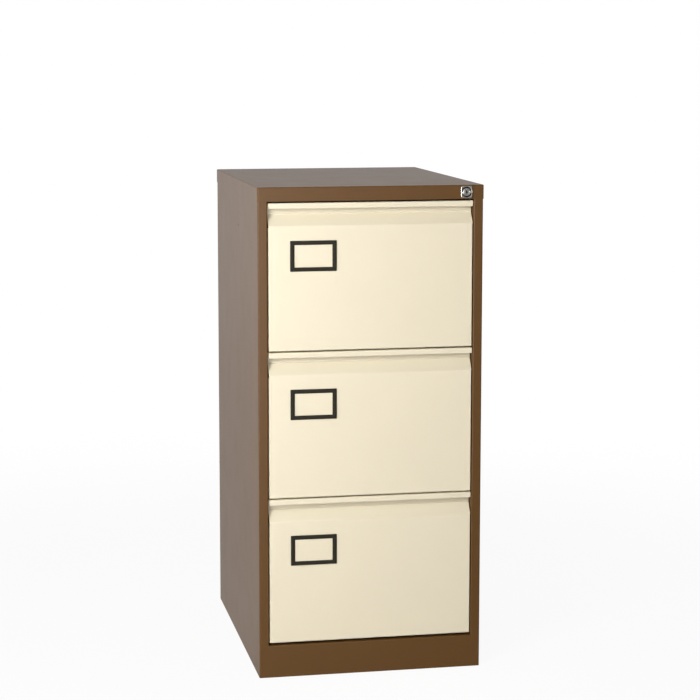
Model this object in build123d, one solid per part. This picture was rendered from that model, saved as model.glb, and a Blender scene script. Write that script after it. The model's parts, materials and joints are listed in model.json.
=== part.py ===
from build123d import *
import math
import os

# A steel filing cabinet with three flush drawers on telescopic slides and one lock for all of them.
# X is the width, the drawers open towards -Y, Z is up. The origin is on the floor, under the middle
# of the whole cabinet with its lock. All sizes are in millimetres.

# Sheet steel and the folds in it
carcass_sheet = 0.9
drawer_sheet = 0.8
front_sheet = 0.9
slide_sheet = 1.2
post_sheet = 1.2
carcass_fold = 1.6
front_fold = 1.6
tray_fold = 2.2
slide_fold = 0.9
weld_gap = 0.1

# Carcass. Its depth follows from the slides, which come in fixed lengths.
rear_space = 24.0
stile_width = 20.0
stile_return = 24.0
rear_flange = 15.0
plinth_height = 67.5
plinth_shelf = 20.0
pan_upstand = 30.0
cap_flange = 29.0
cap_edge_fillet = 2.0
cap_corner_fillet = 3.0
header_lower_flange = 14.0
header_upper_flange = 18.0
side_hole_diameter = 4.0
side_hole_setback = 276.5
side_hole_drop = 99.0

# Drawer fronts and the gaps round them
drawer_front_width = 424.0
drawer_front_height = 301.5
drawer_side_gap = 2.0
drawer_gap = 3.0
top_gap = 3.5
bottom_gap = 5.5
front_depth = 19.0
front_edge_fillet = 2.2

# The full-width finger recess at the top of each drawer front
lip_height = 11.5
hem_height = 7.0
hem_gap = 0.7
recess_depth = 15.2
recess_wall_bottom = 22.0
recess_step = 1.4
recess_bend_drop = 46.5
recess_bend_fillet = 4.0

# Inner panel that closes the back of each drawer front
inner_front_flange = 9.0

# Drawer tray: one folded piece for base and sides, with rails for hanging files, and a back
tray_inset = 11.0
tray_rise = 12.0
tray_drop = 22.0
tray_rear_extra = 8.0
file_rail_width = 7.0
file_rail_lip = 6.0
tray_back_flange = 12.0
tray_back_drop = 9.0
tray_back_setback = 6.0

# Label frame on each drawer front
label_width = 96.0
label_height = 62.6
label_window_width = 78.2
label_window_height = 45.6
label_bottom_border = 8.4
label_thickness = 2.0
label_inset = 44.0
label_drop = 76.3
label_chamfer = 0.6

# Telescopic slides, three members each, with a ball cage in each ball track
slide_thickness = 12.7
slide_height = 45.6
slide_length = 550.0
slide_rear_extra = 10.0
slide_setback = 36.0
slide_rise = 50.0
slide_member_gap = 1.2
ball_track = 3.8
slide_inner_reach = 8.0
cage_clearance = 0.3
cage_web = 0.6
cage_length = 200.0

# Slotted posts that carry the slides
post_width = 40.0
post_setback = 34.0
rear_post_inset = 56.0
post_slot_width = 4.0
post_slot_height = 14.0
post_slot_first = 100.0
post_slots_per_drawer = 4

# Rubber buffers that stop the closing drawers
buffer_length = 7.0
buffer_height = 14.0
buffer_clearance = 0.3

# Lock in the cap's front flange, counted in from the right side
lock_inset = 36.2
lock_bezel_width = 24.0
lock_bezel_height = 25.0
lock_bezel_corner = 4.0
lock_bezel_thickness = 3.5
lock_barrel_diameter = 15.9
lock_barrel_proud = 1.0
lock_running_clearance = 0.08
lock_wall = 1.5
lock_housing_length = 22.0
lock_barrel_length = 24.0
lock_hole_clearance = 0.2
lock_nut_across_flats = 22.0
lock_nut_thickness = 3.0
keyway_width = 1.8
keyway_height = 8.5
keyway_depth = 10.0

# Cam behind the lock, and the locking bar that its pin lifts and lowers. The bar is an upright strip
# with an arm and three hooks riveted to its front.
cam_thickness = 1.5
cam_hub_radius = 6.5
cam_tip_radius = 4.0
cam_pin_radius = 7.0
cam_pin_diameter = 5.0
cam_turn = 90.0
cam_bar_gap = 0.5
pin_slot_clearance = 0.4
pin_slot_end_clearance = 0.6
bar_thickness = 2.0
bar_plate_thickness = 1.5
bar_width = 14.0
bar_side_gap = 3.1
bar_arm_height = 15.0
bar_arm_margin = 4.0
bar_foot_below_catch = 60.0
hook_height = 6.0
hook_reach = 6.0
hook_lap = 9.0

# Guides of the bar, and the catch on each drawer that a hook drops in front of
guide_clearance = 0.3
guide_wall = 1.2
guide_height = 14.0
guide_above_catch = 40.0
catch_sheet = 1.5
catch_fold = 0.5
catch_reach = 9.0
catch_length = 26.0
catch_height = 6.0
catch_drop = 60.0
catch_gap = 1.0

drawer_names = ("bottom", "middle", "top")

# Sizes that follow from the ones above
opening_half = drawer_front_width / 2 + drawer_side_gap
body_half = opening_half + stile_width
inner_half = body_half - carcass_sheet
cap_skin = carcass_sheet + weld_gap
drawer_pitch = drawer_front_height + drawer_gap
fronts_height = len(drawer_names) * drawer_pitch - drawer_gap
cap_bottom = plinth_height + bottom_gap + fronts_height + top_gap
total_height = cap_bottom + cap_flange
cap_underside = total_height - carcass_sheet
panel_top = total_height - cap_edge_fillet - weld_gap
lock_proud = lock_bezel_thickness + lock_barrel_proud

body_depth = slide_setback + slide_length + slide_rear_extra + rear_space
slide_travel = slide_length
face_y = -body_depth / 2 + lock_proud / 2
rear_y = face_y + body_depth
cap_front_y = face_y - cap_skin
fold_clear = carcass_fold + weld_gap

front_half = drawer_front_width / 2
tray_half = front_half - tray_inset
tray_length = slide_setback + slide_length + tray_rear_extra - front_depth
label_center_x = -front_half + label_inset + label_width / 2
slide_outer_x = tray_half + slide_thickness
slide_front_y = face_y + slide_setback
slide_rear_y = slide_front_y + slide_length
post_slot_pitch = drawer_pitch / post_slots_per_drawer

lock_center_x = body_half - lock_inset
lock_z = cap_bottom + cap_flange / 2
housing_radius = lock_barrel_diameter / 2 + lock_running_clearance + lock_wall
cam_y = face_y + lock_barrel_length
bar_plate_y = cam_y + cam_thickness + cam_bar_gap
bar_y = bar_plate_y + bar_plate_thickness
pin_rise = cam_pin_radius * math.sin(math.radians(cam_turn / 2))
pin_reach = cam_pin_radius * math.cos(math.radians(cam_turn / 2))
bar_travel = 2 * pin_rise
bar_arm_top = lock_z + pin_rise + bar_arm_height / 2
bar_outer_x = inner_half - bar_side_gap
bar_inner_x = bar_outer_x - bar_width
catch_y = bar_y + catch_gap


def box(x0, x1, y0, y1, z0, z1):
    # A block between two corners, whichever way round they are given
    size = (abs(x1 - x0), abs(y1 - y0), abs(z1 - z0))
    return Pos((x0 + x1) / 2, (y0 + y1) / 2, (z0 + z1) / 2) * Box(*size)


def folded(points, radii, thickness, side):
    # The section of one folded sheet, traced along one skin, with a radius at every corner
    skin = FilletPolyline(*points, radius=radii)
    return make_face(offset(skin, amount=thickness, side=side, closed=True).edges())


def bent(points, radii, thickness, side):
    # The same for a sheet inside the cabinet, with one flat in place of each round fold
    corners = [Vector(*point) for point in points]
    path = [corners[0]]
    for before, corner, after, radius in zip(corners, corners[1:], corners[2:], radii):
        cut = radius * (2 - math.sqrt(2))
        path.append(corner + (before - corner).normalized() * cut)
        path.append(corner + (after - corner).normalized() * cut)
    path.append(corners[-1])
    outline = offset(
        Polyline(*path), amount=thickness, kind=Kind.INTERSECTION, side=side, closed=True,
    )
    return make_face(outline.edges())


def along_x(section, x0, x1):
    return extrude(Plane.YZ.offset(x0) * section, amount=x1 - x0)


def along_y(section, y0, y1):
    return extrude(Plane.XZ.offset(-y1) * section, amount=y1 - y0)


def along_z(section, z0, z1):
    return extrude(Plane.XY.offset(z0) * section, amount=z1 - z0)


def rod_y(radius, x, z, y0, y1):
    return along_y(Pos(x, z) * Circle(radius), y0, y1)


def other_side(shape):
    return mirror(shape, about=Plane.YZ)


def one(shape):
    # The single solid of a finished piece
    solids = shape.solids()
    return solids[0] if len(solids) == 1 else Compound(solids)


def together(shapes):
    # Identical pieces that share a name
    return Compound([solid for shape in shapes for solid in shape.solids()])


# Carcass panels

def side_panel():
    # The right side: its front is folded in to make the stile, then back to make the drawer opening
    fold = carcass_fold + carcass_sheet
    skin = [
        (opening_half, face_y + stile_return),
        (opening_half, face_y),
        (body_half, face_y),
        (body_half, rear_y),
        (body_half - rear_flange, rear_y),
    ]
    section = folded(skin, [fold] * 3, carcass_sheet, Side.LEFT)
    panel = along_z(section, 0, panel_top)
    # Beside the plinth the stile stays flat and ends where the plinth starts
    panel -= box(
        opening_half - 1, opening_half + fold, face_y - 1, face_y + stile_return + 1,
        -1, plinth_height,
    )
    panel += box(
        opening_half, opening_half + fold, face_y, face_y + carcass_sheet, 0, plinth_height,
    )
    hole_y = face_y + side_hole_setback
    hole_z = total_height - side_hole_drop
    hole = Plane.YZ.offset(body_half - carcass_sheet - 1) * (
        Pos(hole_y, hole_z) * Circle(side_hole_diameter / 2)
    )
    return panel - extrude(hole, amount=carcass_sheet + 2)


def top_panel():
    # The cap: a tray turned upside down over the panels, with the lock's hole in its front flange
    outer = box(
        -body_half - cap_skin, body_half + cap_skin, cap_front_y, rear_y + cap_skin,
        cap_bottom, total_height,
    )
    outer = fillet(outer.edges().filter_by(Axis.Z), cap_corner_fillet)
    outer = fillet(outer.faces().sort_by(Axis.Z)[-1].edges(), cap_edge_fillet)
    inner = box(
        -body_half - weld_gap, body_half + weld_gap, face_y - weld_gap, rear_y + weld_gap,
        cap_bottom - 1, cap_underside,
    )
    inner = fillet(inner.edges().filter_by(Axis.Z), cap_corner_fillet - carcass_sheet)
    return outer - inner - lock_hole(cap_front_y - 1, face_y)


def lock_hole(y0, y1):
    return rod_y(housing_radius + lock_hole_clearance, lock_center_x, lock_z, y0, y1)


def header_rail():
    # The channel behind the cap's front flange, whose lower flange is the top of the drawer opening
    fold = carcass_fold + carcass_sheet
    top = cap_underside - weld_gap
    skin = [
        (face_y + header_lower_flange, cap_bottom),
        (face_y, cap_bottom),
        (face_y, top),
        (face_y + header_upper_flange, top),
    ]
    section = bent(skin, [fold] * 2, carcass_sheet, Side.RIGHT)
    half = opening_half - weld_gap
    rail = along_x(section, -half, half)
    return rail - lock_hole(face_y - 1, face_y + carcass_sheet + 1)


def plinth():
    # The bottom front rail, flush with the stiles, with a shelf folded back from its top edge
    fold = carcass_fold + carcass_sheet
    skin = [
        (face_y, 0),
        (face_y, plinth_height),
        (face_y + plinth_shelf, plinth_height),
    ]
    section = folded(skin, [fold], carcass_sheet, Side.RIGHT)
    return along_x(section, -opening_half, opening_half)


def base_pan():
    # The bottom sheet between the posts, turned up behind the plinth and in front of the back panel
    fold = carcass_fold + carcass_sheet
    front = face_y + carcass_sheet
    rear = rear_y - 2 * carcass_sheet
    skin = [(front, pan_upstand), (front, 0), (rear, 0), (rear, pan_upstand)]
    section = bent(skin, [fold] * 2, carcass_sheet, Side.LEFT)
    half = slide_outer_x - weld_gap
    return along_x(section, -half, half)


def back_panel():
    half = inner_half - fold_clear
    rear = rear_y - carcass_sheet
    return box(-half, half, rear - carcass_sheet, rear, 0, panel_top)


def post(front):
    # A slotted channel whose web faces the drawers and whose flanges meet the side panel
    fold = post_sheet + carcass_fold
    skin = [
        (inner_half, front),
        (slide_outer_x, front),
        (slide_outer_x, front + post_width),
        (inner_half, front + post_width),
    ]
    section = bent(skin, [fold] * 2, post_sheet, Side.RIGHT)
    channel = along_z(section, 0, cap_underside - weld_gap)
    middle = front + post_width / 2
    for n in range(len(drawer_names) * post_slots_per_drawer):
        z = post_slot_first + n * post_slot_pitch
        channel -= box(
            slide_outer_x - 1, slide_outer_x + post_sheet + 1,
            middle - post_slot_width / 2, middle + post_slot_width / 2,
            z - post_slot_height / 2, z + post_slot_height / 2,
        )
    return channel


# Drawers. Depths are counted back from the face of the front, heights down from the top of its lip.

def drawer_front(top):
    # One pressing: bottom return, face, slope into the recess, back wall, and the hemmed lip
    bottom = top - drawer_front_height
    t = front_sheet
    outer = front_fold + t
    skin = [
        (face_y + front_depth, bottom),
        (face_y, bottom),
        (face_y, top - recess_bend_drop),
        (face_y + recess_depth + recess_step, top - recess_wall_bottom - recess_step),
        (face_y + recess_depth, top - recess_wall_bottom),
        (face_y + recess_depth, top - t),
        (face_y + t, top - t),
        (face_y + t, top - lip_height + t),
        (face_y + t + hem_gap, top - lip_height + t),
        (face_y + t + hem_gap, top - lip_height + hem_height),
    ]
    hem_fold = hem_gap * 0.45
    radii = [outer, recess_bend_fillet, 0.5, t + 0.2, 0.9, 0.9, hem_fold, hem_fold]
    section = folded(skin, radii, t, Side.RIGHT)
    front = along_x(section, -front_half, front_half)
    flange_top = top - recess_bend_drop - recess_bend_fillet
    for sign in (-1, 1):
        front += box(
            sign * front_half, sign * (front_half - t), face_y, face_y + front_depth,
            bottom + outer, flange_top,
        )
    # Below the recess an envelope with round corners folds the face back at both sides. The ends of
    # the recess and the lip stay square.
    bend = top - recess_bend_drop
    face_space = box(-front_half, front_half, face_y, face_y + 2 * front_depth, bottom - 1, bend)
    corners = face_space.edges().filter_by(Axis.Z).group_by(Axis.Y)[0]
    recess_space = box(-front_half, front_half, face_y, face_y + 2 * front_depth, bend, top + 1)
    return one(front & (fillet(corners, front_edge_fillet) + recess_space))


def inner_front(top):
    bottom = top - drawer_front_height + front_sheet + weld_gap
    half = front_half - front_sheet - weld_gap
    rear = face_y + front_depth
    t = drawer_sheet
    fold = front_fold
    panel = box(-half, half, rear - t, rear, bottom, top - weld_gap)
    # The flanges fit inside the returns of the front, and the top one closes the gap to its recess
    flange_top = top - recess_bend_drop - recess_bend_fillet
    low = bottom + fold
    for sign in (-1, 1):
        panel += box(
            sign * half, sign * (half - t), rear - inner_front_flange, rear, low, flange_top,
        )
    panel += box(-half, half, rear - inner_front_flange, rear, bottom, bottom + t)
    recess_back = face_y + recess_depth + front_sheet + weld_gap
    panel += box(-half, half, recess_back, rear, top - weld_gap - t, top - weld_gap)
    return one(panel)


def tray(top):
    # Base and sides in one sheet, whose top edges are rolled in as rails for hanging files
    base = top - drawer_front_height + tray_rise
    rim = top - tray_drop
    fold = tray_fold + drawer_sheet
    rail_x = tray_half - file_rail_width
    rail = 1.0 + drawer_sheet
    skin = [
        (-rail_x, rim - file_rail_lip),
        (-rail_x, rim),
        (-tray_half, rim),
        (-tray_half, base),
        (tray_half, base),
        (tray_half, rim),
        (rail_x, rim),
        (rail_x, rim - file_rail_lip),
    ]
    radii = [rail, rail, fold, fold, rail, rail]
    section = bent(skin, radii, drawer_sheet, Side.LEFT)
    front = face_y + front_depth
    return along_y(section, front, front + tray_length)


def tray_back(top):
    base = top - drawer_front_height + tray_rise + drawer_sheet
    rear = face_y + front_depth + tray_length - tray_back_setback
    half = tray_half - drawer_sheet
    fold = 1.0 + drawer_sheet
    skin = [
        (-half, rear - tray_back_flange),
        (-half, rear),
        (half, rear),
        (half, rear - tray_back_flange),
    ]
    section = bent(skin, [fold] * 2, drawer_sheet, Side.RIGHT)
    return along_z(section, base + tray_fold, top - tray_drop - tray_back_drop)


def label_frame(top):
    # A flat frame with bevelled edges that lies on the face of the drawer front
    middle = top - label_drop - label_height / 2
    window = middle + label_bottom_border - (label_height - label_window_height) / 2
    outline = Pos(label_center_x, middle) * Rectangle(label_width, label_height)
    hole = Pos(label_center_x, window) * Rectangle(label_window_width, label_window_height)
    frame = along_y(outline - hole, face_y - label_thickness, face_y)
    return one(chamfer(frame.faces().sort_by(Axis.Y)[0].edges(), label_chamfer))


def catch(top):
    # A small angle on the right side of the tray, whose tab stands behind the locking bar's hook
    middle = top - catch_drop
    skin = [
        (tray_half, catch_y + catch_length),
        (tray_half, catch_y),
        (tray_half + catch_reach, catch_y),
    ]
    section = bent(skin, [catch_fold + catch_sheet], catch_sheet, Side.LEFT)
    return along_z(section, middle - catch_height / 2, middle + catch_height / 2)


# Telescopic slides, drawn for the right side of a drawer

def slide_z(top):
    return top - drawer_front_height + tray_rise + slide_rise


def slide_member(web_x, tip_x, half_height, z, y0, y1):
    # A C-shaped channel with its web at web_x and its flanges reaching to tip_x
    fold = slide_fold + slide_sheet
    skin = [
        (tip_x, z - half_height),
        (web_x, z - half_height),
        (web_x, z + half_height),
        (tip_x, z + half_height),
    ]
    section = bent(skin, [fold] * 2, slide_sheet, Side.LEFT if web_x > tip_x else Side.RIGHT)
    return along_y(section, y0, y1)


slide_tip_x = tray_half + 2 * slide_sheet
cabinet_member_half = slide_height / 2
between_member_half = cabinet_member_half - slide_sheet - ball_track
drawer_member_half = between_member_half - slide_sheet - ball_track
between_web_x = slide_outer_x - slide_sheet - slide_member_gap


def cabinet_slide(top):
    # The member fixed to the posts
    z = slide_z(top)
    return slide_member(
        slide_outer_x, slide_tip_x, cabinet_member_half, z,
        slide_front_y, slide_rear_y + slide_rear_extra,
    )


def between_slide(top):
    # The member between the other two, which moves half as far as the drawer
    z = slide_z(top)
    return slide_member(
        between_web_x, slide_tip_x, between_member_half, z, slide_front_y, slide_rear_y,
    )


def drawer_slide(top):
    # The member fixed to the side of the tray
    z = slide_z(top)
    return slide_member(
        tray_half, tray_half + slide_inner_reach, drawer_member_half, z,
        slide_front_y, slide_rear_y,
    )


def cage(web_x, tip_x, half_height, z):
    # A U-shaped cage that holds the upper and the lower row of balls of one pair of members
    step = math.copysign(cage_web, tip_x - web_x)
    depth = ball_track - 2 * cage_clearance
    outline = Polyline(
        (web_x, z - half_height),
        (tip_x, z - half_height),
        (tip_x, z - half_height + depth),
        (web_x + step, z - half_height + depth),
        (web_x + step, z + half_height - depth),
        (tip_x, z + half_height - depth),
        (tip_x, z + half_height),
        (web_x, z + half_height),
        close=True,
    )
    front = slide_front_y + slide_travel / 4 + (slide_length - slide_travel / 2 - cage_length) / 2
    front = front - (slide_length - slide_travel) / 4
    return along_y(make_face(outline.edges()), front, front + cage_length)


def outer_cage(top):
    web_x = slide_outer_x - slide_sheet - cage_clearance
    tip_x = slide_tip_x + slide_sheet
    return cage(web_x, tip_x, cabinet_member_half - slide_sheet - cage_clearance, slide_z(top))


def inner_cage(top):
    web_x = between_web_x - slide_sheet - cage_clearance
    tip_x = slide_tip_x + slide_sheet
    return cage(web_x, tip_x, between_member_half - slide_sheet - cage_clearance, slide_z(top))


def slide_buffer(top):
    z = slide_z(top)
    web = slide_outer_x - slide_sheet
    y0 = slide_rear_y + buffer_clearance
    return box(
        slide_tip_x, web, y0, y0 + buffer_length, z - buffer_height / 2, z + buffer_height / 2,
    )


# Lock, cam and locking bar

def lock_housing():
    # A square bezel on the cap's flange, with a round body through the flange and the header rail
    outline = RectangleRounded(lock_bezel_width, lock_bezel_height, lock_bezel_corner)
    bezel = along_y(
        Pos(lock_center_x, lock_z) * outline, cap_front_y - lock_bezel_thickness, cap_front_y,
    )
    bezel = chamfer(bezel.faces().sort_by(Axis.Y)[0].edges(), 0.8)
    body = rod_y(housing_radius, lock_center_x, lock_z, cap_front_y, face_y + lock_housing_length)
    bore = rod_y(
        lock_barrel_diameter / 2 + lock_running_clearance, lock_center_x, lock_z,
        cap_front_y - lock_bezel_thickness - 1, face_y + lock_housing_length + 1,
    )
    return one(bezel + body - bore)


def lock_nut():
    # A hexagon nut that draws the bezel against the cap from inside the header rail
    section = RegularPolygon(lock_nut_across_flats / 2, 6, major_radius=False)
    section = section - Circle(housing_radius + 0.05)
    y0 = face_y + carcass_sheet
    return along_y(Pos(lock_center_x, lock_z) * section, y0, y0 + lock_nut_thickness)


def lock_barrel():
    y0 = cap_front_y - lock_proud
    barrel = rod_y(lock_barrel_diameter / 2, lock_center_x, lock_z, y0, cam_y)
    barrel = chamfer(barrel.faces().sort_by(Axis.Y)[0].edges(), 0.5)
    keyway = box(
        lock_center_x - keyway_width / 2, lock_center_x + keyway_width / 2, y0 - 1, y0 + keyway_depth,
        lock_z - keyway_height / 2, lock_z + keyway_height / 2,
    )
    return barrel - keyway


def lock_cam():
    # At rest the pin stands up and out at half of the cam's turn, and it comes down to lock
    pin_x = lock_center_x + pin_reach
    pin_z = lock_z + pin_rise
    hub = Pos(lock_center_x, lock_z) * Circle(cam_hub_radius)
    tip = Pos(pin_x, pin_z) * Circle(cam_tip_radius)
    plate = along_y(make_hull(hub.edges() + tip.edges()), cam_y, cam_y + cam_thickness)
    pin_end = bar_y + cam_bar_gap
    return plate + rod_y(cam_pin_diameter / 2, pin_x, pin_z, cam_y + cam_thickness, pin_end)


def locking_bar():
    # The upright strip behind the right stile
    foot = catch_middle(0) - bar_foot_below_catch
    return box(bar_inner_x, bar_outer_x, bar_y, bar_y + bar_thickness, foot, bar_arm_top)


def bar_arm():
    # The plate that reaches over to the cam, with a slot for the cam's pin
    slot_left = lock_center_x + pin_reach - cam_pin_diameter / 2 - pin_slot_end_clearance
    slot_right = lock_center_x + cam_pin_radius + cam_pin_diameter / 2 + pin_slot_end_clearance
    slot_half = cam_pin_diameter / 2 + pin_slot_clearance
    middle = bar_arm_top - bar_arm_height / 2
    arm = box(
        slot_left - bar_arm_margin, bar_outer_x, bar_plate_y, bar_y,
        middle - bar_arm_height / 2, bar_arm_top,
    )
    return arm - box(
        slot_left, slot_right, bar_plate_y - 1, bar_y + 1, middle - slot_half, middle + slot_half,
    )


def bar_hooks():
    # One plate per drawer, above the catch at rest and in front of it when the bar is down
    hooks = []
    for n in range(len(drawer_names)):
        middle = catch_middle(n) + bar_travel
        hooks.append(box(
            tray_half + catch_reach - hook_reach, bar_inner_x + hook_lap, bar_plate_y, bar_y,
            middle - hook_height / 2, middle + hook_height / 2,
        ))
    return together(hooks)


def bar_guides():
    # A closed clip round the bar above each hook, carried by the front post
    guides = []
    for n in range(len(drawer_names)):
        z = catch_middle(n) + guide_above_catch
        x0 = bar_inner_x - guide_clearance
        x1 = bar_outer_x + guide_clearance
        y0 = bar_y - guide_clearance
        y1 = bar_y + bar_thickness + guide_clearance
        block = box(
            x0 - guide_wall, x1 + guide_wall, y0 - guide_wall, face_y + post_setback,
            z - guide_height / 2, z + guide_height / 2,
        )
        guides.append(block - box(x0, x1, y0, y1, z - guide_height, z + guide_height))
    return together(guides)


def front_top(n):
    # The top of the lip of drawer n, counted from the bottom one
    return plinth_height + bottom_gap + n * drawer_pitch + drawer_front_height


def catch_middle(n):
    return front_top(n) - catch_drop


nodes = {}
right_side = side_panel()
front_post = post(face_y + post_setback)
rear_post = post(slide_rear_y + slide_rear_extra - rear_post_inset)
nodes["top_panel"] = top_panel()
nodes["right_side_panel"] = right_side
nodes["left_side_panel"] = other_side(right_side)
nodes["back_panel"] = back_panel()
nodes["base_pan"] = base_pan()
nodes["plinth"] = plinth()
nodes["header_rail"] = header_rail()
nodes["front_posts"] = together([front_post, other_side(front_post)])
nodes["rear_posts"] = together([rear_post, other_side(rear_post)])
nodes["lock_housing"] = lock_housing()
nodes["lock_nut"] = lock_nut()
nodes["lock_barrel"] = lock_barrel()
nodes["lock_cam"] = lock_cam()
nodes["locking_bar"] = locking_bar()
nodes["locking_bar_arm"] = bar_arm()
nodes["locking_bar_hooks"] = bar_hooks()
nodes["locking_bar_guides"] = bar_guides()

buffers = []
for number, name in enumerate(drawer_names):
    top = front_top(number)
    nodes[name + "_drawer_front"] = drawer_front(top)
    nodes[name + "_drawer_inner_front"] = inner_front(top)
    nodes[name + "_drawer_tray"] = tray(top)
    nodes[name + "_drawer_back"] = tray_back(top)
    nodes[name + "_drawer_label_frame"] = label_frame(top)
    nodes[name + "_drawer_catch"] = catch(top)
    for member, make in (("cabinet", cabinet_slide), ("between", between_slide), ("drawer", drawer_slide)):
        right = make(top)
        nodes[name + "_right_slide_" + member + "_member"] = right
        nodes[name + "_left_slide_" + member + "_member"] = other_side(right)
    for cage_name, make in (("outer", outer_cage), ("inner", inner_cage)):
        right = make(top)
        nodes[name + "_slides_" + cage_name + "_ball_cages"] = together([right, other_side(right)])
    right = slide_buffer(top)
    buffers += [right, other_side(right)]
nodes["slide_buffers"] = together(buffers)

os.makedirs("parts", exist_ok=True)
for name, shape in nodes.items():
    export_step(shape, "parts/" + name + ".step")
print(len(nodes), "pieces,", "height", total_height, "bar travel", round(bar_travel, 3))
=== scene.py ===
import json
import math

import bpy
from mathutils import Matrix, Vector


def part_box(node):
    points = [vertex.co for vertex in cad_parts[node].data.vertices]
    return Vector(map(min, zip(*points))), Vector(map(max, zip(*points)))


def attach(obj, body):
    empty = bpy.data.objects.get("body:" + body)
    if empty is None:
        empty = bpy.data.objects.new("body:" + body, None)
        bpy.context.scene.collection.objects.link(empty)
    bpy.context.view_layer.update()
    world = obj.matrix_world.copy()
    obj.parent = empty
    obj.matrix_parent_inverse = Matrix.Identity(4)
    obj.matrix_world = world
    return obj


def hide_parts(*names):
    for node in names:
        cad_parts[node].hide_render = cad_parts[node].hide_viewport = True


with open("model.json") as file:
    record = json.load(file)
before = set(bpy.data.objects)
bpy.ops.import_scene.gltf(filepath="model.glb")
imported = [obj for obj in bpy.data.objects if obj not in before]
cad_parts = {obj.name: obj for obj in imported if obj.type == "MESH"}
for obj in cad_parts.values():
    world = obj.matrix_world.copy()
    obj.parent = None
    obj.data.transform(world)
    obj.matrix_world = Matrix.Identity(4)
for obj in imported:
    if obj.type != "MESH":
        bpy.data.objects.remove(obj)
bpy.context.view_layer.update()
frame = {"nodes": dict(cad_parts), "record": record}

nodes = frame["nodes"]
mm = 0.001
drawerNames = ("top", "middle", "bottom")


# Shader trees

class Wire:
    # a socket of a shader tree; sums written with it add Math nodes
    def __init__(self, finish, socket):
        self.finish = finish
        self.socket = socket

    def __add__(self, other):
        return self.finish.maths("ADD", self, other)

    def __radd__(self, other):
        return self.finish.maths("ADD", other, self)

    def __sub__(self, other):
        return self.finish.maths("SUBTRACT", self, other)

    def __rsub__(self, other):
        return self.finish.maths("SUBTRACT", other, self)

    def __mul__(self, other):
        return self.finish.maths("MULTIPLY", self, other)

    def __rmul__(self, other):
        return self.finish.maths("MULTIPLY", other, self)


class Finish:
    # the node tree of a material or a world
    def __init__(self, owner):
        owner.use_nodes = True
        self.owner = owner
        self.tree = owner.node_tree
        self.tree.nodes.clear()

    def add(self, kind, settings=None, sockets=None, out=0):
        # any node: its settings first, then the values or wires of its sockets
        node = self.tree.nodes.new(kind)
        for name, value in (settings or {}).items():
            setattr(node, name, value)
        for name, value in (sockets or {}).items():
            if isinstance(value, Wire):
                self.tree.links.new(value.socket, node.inputs[name])
            else:
                node.inputs[name].default_value = value
        return Wire(self, node.outputs[out]) if node.outputs else None

    def maths(self, operation, *values):
        return self.add("ShaderNodeMath", {"operation": operation}, dict(enumerate(values)))

    def vector(self, operation, *values, out="Vector"):
        return self.add("ShaderNodeVectorMath", {"operation": operation}, dict(enumerate(values)), out=out)

    def place(self, scale=(1, 1, 1)):
        # the point on the piece, in metres, stretched per axis
        return self.vector("MULTIPLY", self.add("ShaderNodeTexCoord", out="Object"), scale)

    def noise(self, scale, detail=2.0, roughness=0.5, stretch=(1, 1, 1)):
        return self.add(
            "ShaderNodeTexNoise", {"noise_dimensions": "3D"},
            {"Vector": self.place(stretch), "Scale": scale, "Detail": detail, "Roughness": roughness},
        )

    def between(self, low, high, amount):
        # a colour between two others, each a plain colour or a wire
        low, high = (end if isinstance(end, Wire) else (*end, 1) for end in (low, high))
        return self.add(
            "ShaderNodeMix", {"data_type": "RGBA", "blend_type": "MIX"},
            {"Factor": amount, 6: low, 7: high}, out=2,
        )

    def step(self, value, start, end, low=0.0, high=1.0):
        # goes smoothly from low to high while the value goes from start to end
        return self.add(
            "ShaderNodeMapRange", {"interpolation_type": "SMOOTHSTEP"},
            {"Value": value, "From Min": start, "From Max": end, "To Min": low, "To Max": high},
        )

    def bump(self, depth, height, under=None):
        sockets = {"Strength": 1.0, "Distance": depth, "Height": height}
        if under is not None:
            sockets["Normal"] = under
        return self.add("ShaderNodeBump", None, sockets)

    def behind(self, coordinates, look):
        # 1 behind the cabinet and frontGloss in front of it
        depth = self.add("ShaderNodeSeparateXYZ", None, {"Vector": coordinates}, out="Y")
        return self.step(depth, look["frontEdge"], look["backEdge"], look["frontGloss"], 1.0)

    def rays(self):
        # each is 1 on its own kind of ray and 0 on the others
        kinds = ("Is Camera Ray", "Is Glossy Ray", "Is Transmission Ray")
        return [self.add("ShaderNodeLightPath", out=kind) for kind in kinds]

    def surface(self, sockets):
        shader = self.add("ShaderNodeBsdfPrincipled", None, sockets)
        self.add("ShaderNodeOutputMaterial", None, {"Surface": shader})
        return self.owner


def tone(colour, factor):
    return tuple(min(1.0, part * factor) for part in colour)


coffeePaint = {
    "colour": (0.111, 0.0495, 0.0098),
    "roughness": 0.43,
    "specular": 0.2,
    "mottle": 0.05,
    "peelDepth": 0.045 * mm,
    "sheetWave": 0.25 * mm,
}
creamPaint = {
    "colour": (0.740, 0.665, 0.502),
    "roughness": 0.38,
    "specular": 0.3,
    "mottle": 0.018,
    "peelDepth": 0.035 * mm,
    "sheetWave": 0.2 * mm,
}
paintGrain = {
    "peelSize": 900.0,
    "waveSize": 7.0,
    "cloudSize": 16.0,
    "speckSize": 2600.0,
    "speckShare": 0.25,
    "smoother": 0.05,
    "cloudRoughness": 0.07,
    "peelRoughness": 0.03,
}


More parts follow.
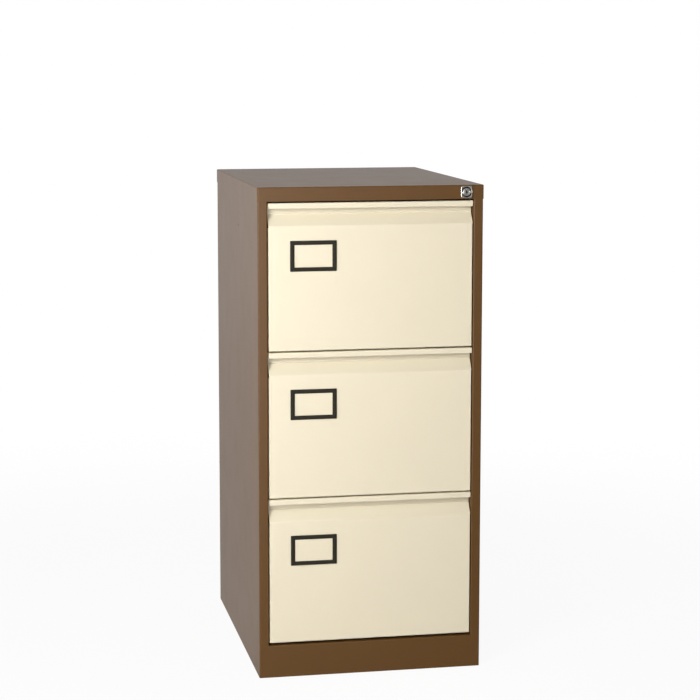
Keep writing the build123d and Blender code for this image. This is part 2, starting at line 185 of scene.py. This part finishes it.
def stovedPaint(name, look, grain):
    # baked paint on sheet steel: fine orange peel over the slow waves of the sheet
    finish = Finish(bpy.data.materials.new(name))
    peel = finish.noise(grain["peelSize"], detail=1.5)
    wave = finish.noise(grain["waveSize"], detail=1.0)
    cloud = finish.noise(grain["cloudSize"], detail=4.0, roughness=0.6)
    speck = finish.noise(grain["speckSize"], detail=0.0)
    waved = finish.bump(look["sheetWave"], wave)
    shade = cloud * (1 - grain["speckShare"]) + speck * grain["speckShare"]
    colour = finish.between(
        tone(look["colour"], 1 - look["mottle"]), tone(look["colour"], 1 + look["mottle"]), shade,
    )
    rough = look["roughness"] - grain["smoother"]
    return finish.surface({
        "Base Color": colour,
        "Roughness": rough + cloud * grain["cloudRoughness"] + peel * grain["peelRoughness"],
        "Normal": finish.bump(look["peelDepth"], peel, waved),
        "IOR": 1.5, "Specular IOR Level": look["specular"],
    })


zincSteel = {
    "colour": (0.55, 0.56, 0.575),
    "darker": 0.72,
    "roughness": 0.36,
    "stretch": (160, 5, 160),
    "grain": 0.012 * mm,
}
cageSteel = {
    "colour": (0.46, 0.46, 0.47),
    "darker": 0.8,
    "roughness": 0.24,
    "stretch": (90, 30, 90),
    "grain": 0.006 * mm,
}
plating = {
    "lineSize": 6.0,
    "cloudSize": 30.0,
    "spangleSize": 260.0,
    "cloudShare": 0.55,
    "lineShare": 0.3,
    "spangleShare": 0.2,
    "paler": 1.15,
    "smoother": 0.06,
    "cloudRoughness": 0.14,
    "lineRoughness": 0.05,
}


def platedSteel(name, look, plate):
    # rolled and plated sheet: faint lines along the strip and cloudy plating
    finish = Finish(bpy.data.materials.new(name))
    lines = finish.noise(plate["lineSize"], detail=3.0, stretch=look["stretch"])
    cloud = finish.noise(plate["cloudSize"], detail=3.0, roughness=0.65)
    spangle = finish.add(
        "ShaderNodeTexVoronoi", {"feature": "F1", "voronoi_dimensions": "3D"},
        {"Vector": finish.place(), "Scale": plate["spangleSize"]}, out="Distance",
    )
    shade = cloud * plate["cloudShare"] + lines * plate["lineShare"] + spangle * plate["spangleShare"]
    rough = look["roughness"] - plate["smoother"]
    return finish.surface({
        "Base Color": finish.between(
            tone(look["colour"], look["darker"]), tone(look["colour"], plate["paler"]), shade,
        ),
        "Metallic": 1.0,
        "Normal": finish.bump(look["grain"], lines),
        "Roughness": rough + cloud * plate["cloudRoughness"] + lines * plate["lineRoughness"],
    })


lockMetal = {
    "colour": (0.395, 0.377, 0.345),
    "darker": 0.86,
    "paler": 1.08,
    "cloudSize": 220.0,
    "pitSize": 1500.0,
    "roughness": 0.24,
    "smoother": 0.05,
    "cloudRoughness": 0.12,
    "ringPitch": 0.45 * mm,
    "ringDepth": 0.008 * mm,
    "ringShare": 0.5,
    # painted shade: the tone of the dished ring's two ends and of the keyway's inside
    "paintedShadeTone": 0.06,
    "paintedShadeRadius": 9.7 * mm,  # the dished ring, with painted shade darkest at its two ends
    "paintedShadeFrom": 0.78 * mm,
    "paintedShadeTo": 1.95 * mm,
    "paintedShadeWander": 0.4 * mm,
    "paintedShadeAxis": (-0.32, 0.0, 0.95),
    "paintedShadeEnds": (0.45, 0.85),
    "paintedShadeSides": 0.25,
    "plugRadius": 4.2 * mm,  # the keyway's inside gets painted shade as well
    "keywayFrom": -0.5 * mm,
    "keywayTo": 0.3 * mm,
    "keywaySlope": 0.2,
}


def turnedMetal(name, look, centre):
    # satin chrome over a turned casting: fine rings round the lock's axis, and painted shade at the two
    # ends of the dished ring and inside the keyway
    finish = Finish(bpy.data.materials.new(name))
    apart = finish.vector("SUBTRACT", finish.add("ShaderNodeTexCoord", out="Object"), centre)
    flat = finish.vector("MULTIPLY", apart, (1, 0, 1))
    radius = finish.vector("LENGTH", flat, out="Value")
    rings = finish.maths("SINE", radius * (2 * math.pi / look["ringPitch"]))
    cloud = finish.noise(look["cloudSize"], detail=3.0)
    pits = finish.noise(look["pitSize"], detail=1.0)
    unshadedMetal = finish.between(
        tone(look["colour"], look["darker"]), tone(look["colour"], look["paler"]), cloud,
    )
    # painted shade in the dished ring, darkest at its two ends
    offGroove = finish.maths("ABSOLUTE", radius - look["paintedShadeRadius"]) + cloud * look["paintedShadeWander"]
    inGroove = finish.step(offGroove, look["paintedShadeFrom"], look["paintedShadeTo"], 1.0, 0.0)
    along = finish.vector("DOT_PRODUCT", finish.vector("NORMALIZE", flat), look["paintedShadeAxis"], out="Value")
    atEnds = finish.step(finish.maths("ABSOLUTE", along), *look["paintedShadeEnds"], look["paintedShadeSides"], 1.0)
    # painted shade inside the keyway, within the plug
    depth = finish.add("ShaderNodeSeparateXYZ", None, {"Vector": apart}, out="Y")
    inKeyway = finish.step(depth - radius * look["keywaySlope"], look["keywayFrom"], look["keywayTo"])
    isPlug = finish.maths("LESS_THAN", radius, look["plugRadius"])
    paintedShade = finish.maths("MAXIMUM", inGroove * atEnds, inKeyway * isPlug)
    return finish.surface({
        # the base colour darkened where the shade is painted
        "Base Color": finish.between(unshadedMetal, tone(look["colour"], look["paintedShadeTone"]), paintedShade),
        "Metallic": 1.0,
        "Roughness": look["roughness"] - look["smoother"] + cloud * look["cloudRoughness"],
        "Normal": finish.bump(look["ringDepth"], rings * look["ringShare"] + pits),
    })


blackPlastic = {
    "colour": (0.019, 0.0155, 0.0095),
    "roughness": 0.6,
    "specular": 0.1,
    "grainSize": 1500.0,
    "grainDepth": 0.03 * mm,
}
bufferRubber = {
    "colour": (0.022, 0.021, 0.020),
    "roughness": 0.78,
    "specular": 0.3,
    "grainSize": 700.0,
    "grainDepth": 0.06 * mm,
}
moulding = {
    "cloudSize": 60.0,
    "darker": 0.8,
    "paler": 1.25,
    "smoother": 0.08,
    "cloudRoughness": 0.12,
    "grainRoughness": 0.04,
}


def mouldedSurface(name, look, mould):
    # a moulded surface with an even fine grain
    finish = Finish(bpy.data.materials.new(name))
    grain = finish.noise(look["grainSize"], detail=2.0, roughness=0.7)
    cloud = finish.noise(mould["cloudSize"], detail=3.0)
    rough = look["roughness"] - mould["smoother"]
    return finish.surface({
        "Base Color": finish.between(
            tone(look["colour"], mould["darker"]), tone(look["colour"], mould["paler"]), cloud,
        ),
        "Roughness": rough + cloud * mould["cloudRoughness"] + grain * mould["grainRoughness"],
        "Specular IOR Level": look["specular"],
        "Normal": finish.bump(look["grainDepth"], grain),
    })


def seenFromFront(low, high):
    # a box's centre in X and Z, and its half width and half height
    return (low.x + high.x) / 2, (low.z + high.z) / 2, (high.x - low.x) / 2, (high.z - low.z) / 2


lockLow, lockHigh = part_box("lock_barrel")
lockX, lockZ, lockRadius, _ = seenFromFront(lockLow, lockHigh)
finishes = {
    "coffee_paint": stovedPaint("coffee_paint", coffeePaint, paintGrain),
    "cream_paint": stovedPaint("cream_paint", creamPaint, paintGrain),
    "zinc_plated_steel": platedSteel("zinc_plated_steel", zincSteel, plating),
    "cage_steel": platedSteel("cage_steel", cageSteel, plating),
    "lock_metal": turnedMetal("lock_metal", lockMetal, (lockX, lockLow.y, lockZ)),
    "black_plastic": mouldedSurface("black_plastic", blackPlastic, moulding),
    "buffer_rubber": mouldedSurface("buffer_rubber", bufferRubber, moulding),
}
print("finishes:", len(finishes))


# Mesh helpers

foldShading = {
    "packedAngle": 30,
    "ownAngle": 35,
    "lockAngle": 40,
    "weldReach": 0.001 * mm,
    "flatWeight": 100,
}


def smoothEdges(piece, angle):
    # round folds look round and flat sheet stays flat; the mesh's points aren't touched
    for face in piece.data.polygons:
        face.use_smooth = True
    weld = piece.modifiers.new("weld", "WELD")
    weld.merge_threshold = foldShading["weldReach"]
    split = piece.modifiers.new("split", "EDGE_SPLIT")
    split.split_angle = math.radians(angle)
    weighted = piece.modifiers.new("weighted", "WEIGHTED_NORMAL")
    weighted.weight = foldShading["flatWeight"]
    weighted.keep_sharp = True


def makePiece(name, shape, slot, body, replaced=(), angle=foldShading["ownAngle"]):
    points, faces = shape
    mesh = bpy.data.meshes.new(name)
    mesh.from_pydata(points, [], faces)
    mesh.update()
    piece = bpy.data.objects.new(name, mesh)
    bpy.context.scene.collection.objects.link(piece)
    piece.data.materials.append(finishes[slot])
    smoothEdges(piece, angle)
    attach(piece, body)
    if replaced:
        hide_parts(*replaced)


def ringLoop(x, z, y, halfWidth, halfHeight, corner, perCorner=10):
    # a rectangle with round corners, seen from the front and counted anticlockwise
    corner = min(corner, halfWidth, halfHeight)
    loop = []
    for quarter, (signX, signZ) in enumerate(((1, 1), (-1, 1), (-1, -1), (1, -1))):
        centreX = x + signX * (halfWidth - corner)
        centreZ = z + signZ * (halfHeight - corner)
        for step in range(perCorner + 1):
            angle = math.pi / 2 * (quarter + step / perCorner)
            loop.append((centreX + corner * math.cos(angle), y, centreZ + corner * math.sin(angle)))
    return loop


def circleLoop(x, z, y, radius, perCorner=10):
    return ringLoop(x, z, y, radius, radius, radius, perCorner)


def loft(loops, closed=False):
    # skins a row of loops that have the same number of points; an open row is capped at both ends
    count = len(loops[0])
    points = [point for loop in loops for point in loop]
    faces = []
    rows = len(loops) if closed else len(loops) - 1
    for row in range(rows):
        here, there = row * count, (row + 1) % len(loops) * count
        for step in range(count):
            after = (step + 1) % count
            faces.append((here + step, there + step, there + after, here + after))
    if not closed:
        last = rows * count
        faces.append(tuple(range(count)))
        faces.append(tuple(last + step for step in reversed(range(count))))
    return points, faces


def join(parts):
    points, faces = [], []
    for somePoints, someFaces in parts:
        start = len(points)
        points += somePoints
        faces += [tuple(start + corner for corner in face) for face in someFaces]
    return points, faces


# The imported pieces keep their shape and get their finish

bodyOf = {}
for body, members in frame["record"]["behaviour"]["bodies"].items():
    for member in members:
        bodyOf[member] = body
slotOf = {row["node"]: row["material_slot"] for row in frame["record"]["subparts"]}
for name, node in nodes.items():
    node.data.materials.clear()
    node.data.materials.append(finishes[slotOf[name]])
    smoothEdges(node, foldShading["packedAngle"])
print("packed pieces:", len(nodes))


# Label holders, moulded with a raised rim and a bevel down to the window

labelHolder = {
    "sideDrop": 0.9 * mm,
    "rimInset": 1.0 * mm,
    "rimStart": 0.25,
    "rimDrop": 0.35 * mm,
    "crownDrop": 0.06 * mm,
    "bevelWidth": 1.3 * mm,
    "bevelEdgeDrop": 0.02 * mm,
    "bevelMiddle": 0.55,
    "bevelDrop": 0.55 * mm,
    "innerHeight": 0.9 * mm,
    "cornerOut": 1.2 * mm,
    "cornerIn": 0.5 * mm,
    "cornerSteps": 4,
    "outlineBand": 2.0 * mm,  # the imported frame's points in this band are its outline
    "backReach": 0.05 * mm,
}


def labelWindow(name, look):
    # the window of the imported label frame: the points on its back that aren't on its outline
    low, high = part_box(name)
    middleX, _, halfWidth, _ = seenFromFront(low, high)
    wide, tall = [], []
    for vertex in nodes[name].data.vertices:
        point = vertex.co
        onBack = abs(point.y - high.y) <= look["backReach"]
        if onBack and abs(point.x - middleX) < halfWidth - look["outlineBand"]:
            wide.append(point.x)
            tall.append(point.z)
    return (
        (min(wide) + max(wide)) / 2, (min(tall) + max(tall)) / 2,
        (max(wide) - min(wide)) / 2, (max(tall) - min(tall)) / 2,
    )


def labelLoops(name, look):
    low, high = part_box(name)
    outline = seenFromFront(low, high)
    window = labelWindow(name, look)
    back, front = high.y, low.y
    border = outline[2] - window[2]
    rim, bevel = look["rimInset"] / border, 1 - look["bevelWidth"] / border
    profile = (  # share of the way from outline to window, and depth
        (0, back),
        (0, front + look["sideDrop"]),
        (rim * look["rimStart"], front + look["rimDrop"]),
        (rim, front),
        ((bevel + rim) / 2, front + look["crownDrop"]),
        (bevel, front + look["bevelEdgeDrop"]),
        (bevel + (1 - bevel) * look["bevelMiddle"], front + look["bevelDrop"]),
        (1, back - look["innerHeight"]),
        (1, back),
    )
    loops = []
    for inward, y in profile:
        x, z, halfWidth, halfHeight = (out + (end - out) * inward for out, end in zip(outline, window))
        corner = look["cornerOut"] + (look["cornerIn"] - look["cornerOut"]) * inward
        loops.append(ringLoop(x, z, y, halfWidth, halfHeight, corner, look["cornerSteps"]))
    return loops


for drawer in drawerNames:
    name = drawer + "_drawer_label_frame"
    shape = loft(labelLoops(name, labelHolder), closed=True)
    makePiece(drawer + "_label_holder", shape, "black_plastic", bodyOf[name], [name])
print("label holders:", len(drawerNames))


# Lock: a square bezel with a dished ring, and a barrel with a keyway

lockBezel = {
    "corner": 4.0 * mm,
    "cornerShrink": 0.6,
    "edge": 0.8 * mm,
    "edgeRound": ((0, 1), (0.12, 0.5), (0.45, 0.16), (1, 0)),  # inset and drop, in shares of the edge
    "dish": (  # radius and depth, in mm
        (10.95, 0.02), (10.7, 0.12), (10.4, 1.68), (9.8, 2.8), (9.15, 2.1), (8.9, 0.25), (8.7, 0.1),
    ),
    "boreClearance": 0.08 * mm,
    "boreLip": 0.15 * mm,
    "boreLipDrop": 0.1 * mm,
    "boreDrop": 0.25 * mm,
    "seat": 3.5 * mm,
    "wall": 1.5 * mm,
}
lockBarrel = {
    "rim": 0.6 * mm,
    "rimRound": ((1, 0), (0.3, 0.25), (0, 1)),  # inset and drop, in shares of the rim
    "face": (  # radius and depth, in mm
        (4.4, 0.22), (5.5, 0.18), (5.7, 0.3), (5.8, 0.5), (6.2, 0.5), (6.3, 0.1), (6.5, 0),
    ),
    "keywayHalfWidth": 1.2 * mm,
    "keywayHalfHeight": 3.2 * mm,
    "keywayCorner": 0.35 * mm,
    "keywayDepth": 10.0 * mm,
    "keywayLead": 0.25 * mm,
    "keywayDrop": 0.25 * mm,
}


def lockBezelLoops(look):
    low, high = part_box("lock_housing")
    x, z, halfWidth, halfHeight = seenFromFront(low, high)
    front, back = low.y, high.y

    def square(inset, y):
        corner = look["corner"] - inset * look["cornerShrink"]
        return ringLoop(x, z, y, halfWidth - inset, halfHeight - inset, corner)

    edge, seat = look["edge"], front + look["seat"]
    bore = lockRadius + look["boreClearance"]
    loops = [square(0, seat)]
    loops += [square(edge * inset, front + edge * drop) for inset, drop in look["edgeRound"]]
    rings = [(radius * mm, front + depth * mm) for radius, depth in look["dish"]]
    rings += [(bore + look["boreLip"], front + look["boreLipDrop"]), (bore, front + look["boreDrop"])]
    rings += [(bore, back), (bore + look["wall"], back), (bore + look["wall"], seat)]
    return loops + [circleLoop(x, z, y, radius) for radius, y in rings]


def lockBarrelLoops(look):
    front, back = lockLow.y, lockHigh.y

    def keyway(grow, y):
        halfWidth, halfHeight = look["keywayHalfWidth"] + grow, look["keywayHalfHeight"] + grow
        return ringLoop(lockX, lockZ, y, halfWidth, halfHeight, look["keywayCorner"] + grow)

    lead, drop, rim = look["keywayLead"], look["keywayDrop"], look["rim"]
    loops = [
        keyway(0, front + look["keywayDepth"]), keyway(0, front + lead + drop), keyway(lead, front + drop),
    ]
    rings = [(radius * mm, front + depth * mm) for radius, depth in look["face"]]
    rings += [(lockRadius - rim * inset, front + rim * down) for inset, down in look["rimRound"]]
    rings.append((lockRadius, back))
    return loops + [circleLoop(lockX, lockZ, y, radius) for radius, y in rings]


makePiece(
    "lock_bezel", loft(lockBezelLoops(lockBezel), closed=True), "lock_metal", "cabinet", ["lock_housing"],
    foldShading["lockAngle"],
)
makePiece(
    "lock_plug", loft(lockBarrelLoops(lockBarrel)), "lock_metal", "lock", ["lock_barrel"],
    foldShading["lockAngle"],
)
print("lock made")


# Ball cages: a thin folded strip with a row of balls in each of its two edges

ballCage = {
    "ballDiameter": 3.2 * mm,
    "ballPitch": 12.5 * mm,
    "endMargin": 6.25 * mm,
    "tipGap": 0.25 * mm,
    "strip": 0.5 * mm,
    "outerFold": (0.8 * mm, 0.6 * mm),
    "innerFold": (0.5 * mm, 1.0 * mm),
    "around": 10,
    "across": 6,
}


def ballMesh(centre, radius, around, across):
    points, faces = [], []
    for row in range(across + 1):
        lift = math.pi * row / across
        ring = 1 if row in (0, across) else around
        for step in range(ring):
            turn = 2 * math.pi * step / around
            points.append((
                centre[0] + radius * math.sin(lift) * math.cos(turn),
                centre[1] + radius * math.cos(lift),
                centre[2] + radius * math.sin(lift) * math.sin(turn),
            ))
    last = len(points) - 1
    for step in range(around):
        after = (step + 1) % around
        faces.append((0, 1 + after, 1 + step))
        for row in range(across - 2):
            here, there = 1 + row * around, 1 + (row + 1) * around
            faces.append((here + step, here + after, there + after, there + step))
        edge = 1 + (across - 2) * around
        faces.append((last, edge + step, edge + after))
    return points, faces


def stripMesh(section, y0, y1):
    # a closed section drawn in X and Z, run along Y
    count = len(section)
    points = [(x, y0, z) for x, z in section] + [(x, y1, z) for x, z in section]
    faces = [
        (step, step + count, (step + 1) % count + count, (step + 1) % count) for step in range(count)
    ]
    faces.append(tuple(range(count)))
    faces.append(tuple(reversed(range(count, 2 * count))))
    return points, faces


def cageParts(side, webX, tipX, low, high, look):
    # drawn for the right side, with its web outwards, and mirrored for the left one
    radius, half = look["ballDiameter"] / 2, look["strip"] / 2
    bottom, top = low.z + radius, high.z - radius
    inward = webX - look["strip"]
    outX, outZ = look["outerFold"]
    inX, inZ = look["innerFold"]
    section = [
        (tipX, bottom - half), (webX - outX, bottom - half), (webX, bottom + outZ),
        (webX, top - outZ), (webX - outX, top + half), (tipX, top + half),
        (tipX, top - half), (inward - inX, top - half), (inward, top - inZ),
        (inward, bottom + inZ), (inward - inX, bottom + half), (tipX, bottom + half),
    ]
    parts = [stripMesh([(side * x, z) for x, z in section], low.y, high.y)]
    ballX = side * (tipX + radius + look["tipGap"])
    count = int((high.y - low.y - 2 * look["endMargin"]) / look["ballPitch"]) + 1
    for number in range(count):
        y = low.y + look["endMargin"] + number * look["ballPitch"]
        for z in (bottom, top):
            parts.append(ballMesh((ballX, y, z), radius, look["around"], look["across"]))
    return parts


def cageTipX(name):
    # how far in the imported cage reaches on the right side
    return min(vertex.co.x for vertex in nodes[name].data.vertices if vertex.co.x > 0)


cagesMade = 0
for drawer in drawerNames:
    for cage in ("outer", "inner"):
        name = drawer + "_slides_" + cage + "_ball_cages"
        low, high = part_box(name)
        parts = []
        for side in (1, -1):
            parts += cageParts(side, high.x, cageTipX(name), low, high, ballCage)
        pieceName = drawer + "_" + cage + "_cages_with_balls"
        makePiece(pieceName, join(parts), "cage_steel", bodyOf[name], [name])
        cagesMade += 1
print("ball cages:", cagesMade)


# Rivets that hold the arm and the hooks on the locking bar

rivet = {
    "radius": 2.6 * mm,
    "height": 0.9 * mm,
    "inset": 4.0 * mm,
    "rings": (1.0, 0.97, 0.85, 0.62, 0.3),
    "roundness": 2.6,
    "cornerSteps": 4,
}


def rivetMesh(x, y, z, look):
    loops = []
    for part in look["rings"]:
        lift = look["height"] * math.sqrt(max(0.0, 1 - part ** look["roundness"]))
        loops.append(circleLoop(x, z, y - lift, look["radius"] * part, look["cornerSteps"]))
    return loft(loops)


barLow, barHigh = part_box("locking_bar")
barX = (barLow.x + barHigh.x) / 2
armLow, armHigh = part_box("locking_bar_arm")
rivetPlaces = [(barX, armHigh.z - rivet["inset"]), (barX, armLow.z + rivet["inset"])]
# the hooks' undersides and tops, to a hundredth of a millimetre
hookHeights = sorted({round(vertex.co.z, 5) for vertex in nodes["locking_bar_hooks"].data.vertices})
for below, above in zip(hookHeights[::2], hookHeights[1::2]):
    rivetPlaces.append((barLow.x + rivet["inset"], (below + above) / 2))
rivets = [rivetMesh(x, armLow.y, z, rivet) for x, z in rivetPlaces]
makePiece("locking_bar_rivets", join(rivets), "zinc_plated_steel", "locking_bar")
print("rivets:", len(rivets))


# Floor, light and camera

studioFloor = {
    "size": 40.0,
    "drop": 0.2 * mm,
    "colour": (0.8, 0.8, 0.8, 1),
    "frontColour": (0.05, 0.05, 0.05, 1),
    "nearGlow": 0.93,
    "farFrom": 0.9,
    "farTo": 2.6,
    "frontGloss": 0.05,
    "frontEdge": -0.8,
    "backEdge": 0.1,
}


def floorFinish(look):
    # white to the camera, and to gloss behind the cabinet; it is shaded a little under the cabinet
    finish = Finish(bpy.data.materials.new("studio_floor"))
    coordinates = finish.add("ShaderNodeTexCoord", out="Object")
    away = finish.vector("LENGTH", coordinates, out="Value")
    glow = finish.step(away, look["farFrom"], look["farTo"], look["nearGlow"], 1.0)
    behind = finish.behind(coordinates, look)
    seen, gloss, through = finish.rays()
    white = finish.add("ShaderNodeBsdfDiffuse", None, {"Color": look["colour"]})
    dim = finish.add("ShaderNodeBsdfDiffuse", None, {"Color": look["frontColour"]})
    lit = finish.add("ShaderNodeMixShader", None, {"Fac": gloss * (1 - behind), 1: white, 2: dim})
    shine = finish.add("ShaderNodeEmission", None, {"Color": (1, 1, 1, 1), "Strength": 1.0})
    mixed = finish.add(
        "ShaderNodeMixShader", None,
        {"Fac": (seen + gloss * behind + through) * glow, 1: lit, 2: shine},
    )
    finish.add("ShaderNodeOutputMaterial", None, {"Surface": mixed})
    return finish.owner


half = studioFloor["size"] / 2
corners = [(-half, -half, 0), (half, -half, 0), (half, half, 0), (-half, half, 0)]
floorMesh = bpy.data.meshes.new("studio_floor")
floorMesh.from_pydata(corners, [], [(0, 1, 2, 3)])
floor = bpy.data.objects.new("studio_floor", floorMesh)
floor.location.z = -studioFloor["drop"]
bpy.context.scene.collection.objects.link(floor)
floor.data.materials.append(floorFinish(studioFloor))

studioWorld = {
    "roomLight": 0.187,
    "frontGloss": 0.09,
    "frontEdge": -0.45,
    "backEdge": 0.1,
}


def studioBackdrop(look):
    # a white backdrop to the camera; metal and gloss see it behind the cabinet and a dim room in front
    finish = Finish(bpy.data.worlds.new("studio"))
    behind = finish.behind(finish.add("ShaderNodeTexCoord", out="Generated"), look)
    seen, gloss, through = finish.rays()
    lit = (1 - seen - gloss - through) * look["roomLight"]
    sky = finish.add(
        "ShaderNodeBackground", None,
        {"Color": (1, 1, 1, 1), "Strength": seen + through + gloss * behind + lit},
    )
    finish.add("ShaderNodeOutputWorld", None, {"Surface": sky})
    return finish.owner


bpy.context.scene.world = studioBackdrop(studioWorld)

# a gloss-only lamp is just a sheen on the paint, and a matte-only lamp isn't mirrored in it
softboxes = (
    {"name": "front_left", "power": 25.4, "size": (0.8, 0.8),
     "place": (-1.3, -1.85, 1.7), "aim": (-0.1, -0.3, 0.7)},
    {"name": "front_low", "power": 18.5, "size": (0.8, 1.2),
     "place": (-1.4, -1.75, 0.9), "aim": (-0.1, -0.3, 0.4)},
    {"name": "front_high", "power": 6.9, "size": (0.8, 0.8),
     "place": (-0.6, -2.2, 2.0), "aim": (-0.1, -0.3, 0.8)},
    {"name": "front_far", "power": 6.2, "size": (1.4, 1.4),
     "place": (0.1, -2.6, 1.0), "aim": (0, -0.3, 0.7)},
    {"name": "front_sheen", "power": 66.0, "size": (1.0, 0.65), "glossOnly": True,
     "place": (-0.8, -2.6, 0.66), "aim": (-0.2, -0.3, 0.8)},
    {"name": "left", "power": 9.0, "size": (2.0, 2.0),
     "place": (-3.0, 0.2, 1.0), "aim": (0, 0, 0.5)},
    {"name": "side_sheen", "power": 3.2, "size": (1.2, 1.2), "glossOnly": True,
     "place": (-1.6, 2.6, 0.9), "aim": (-0.235, 0, 0.6)},
    {"name": "right", "power": 24.0, "size": (1.6, 0.9), "matteOnly": True,
     "place": (2.8, 0.8, 0.5), "aim": (0, 0, 0.5)},
    {"name": "rear", "power": 24.0, "size": (1.4, 0.9), "matteOnly": True,
     "place": (0.8, 2.8, 0.5), "aim": (0, 0.3, 0.5)},
)
for box in softboxes:
    lamp = bpy.data.lights.new(box["name"], "AREA")
    lamp.shape = "RECTANGLE"
    lamp.size, lamp.size_y = box["size"]
    lamp.energy = box["power"]
    light = bpy.data.objects.new(box["name"], lamp)
    light.location = box["place"]
    aim = Vector(box["aim"]) - Vector(box["place"])
    light.rotation_euler = aim.to_track_quat("-Z", "Y").to_euler()
    light.visible_camera = False
    light.visible_diffuse = not box.get("glossOnly", False)
    light.visible_glossy = not box.get("matteOnly", False)
    bpy.context.scene.collection.objects.link(light)

photoCamera = {
    "place": (-0.83218, -4.27385, 1.29436),
    "yaw": 0.1890,
    "pitch": 0.1260,
    "focalPixels": 2000.83,
    "picturePixels": 700,
    "sensor": 36,
    "shift": (0.02, -0.07),
    "farthest": 100,
}
cameraData = bpy.data.cameras.new("photo_camera")
cameraData.sensor_width = photoCamera["sensor"]
cameraData.lens = photoCamera["focalPixels"] / photoCamera["picturePixels"] * photoCamera["sensor"]
cameraData.shift_x, cameraData.shift_y = photoCamera["shift"]
cameraData.clip_end = photoCamera["farthest"]
camera = bpy.data.objects.new("photo_camera", cameraData)
camera.location = photoCamera["place"]
camera.rotation_euler = (math.pi / 2 - photoCamera["pitch"], 0, -photoCamera["yaw"])
bpy.context.scene.collection.objects.link(camera)
bpy.context.scene.camera = camera
bpy.context.scene.view_settings.view_transform = "Standard"
print("stage ready")
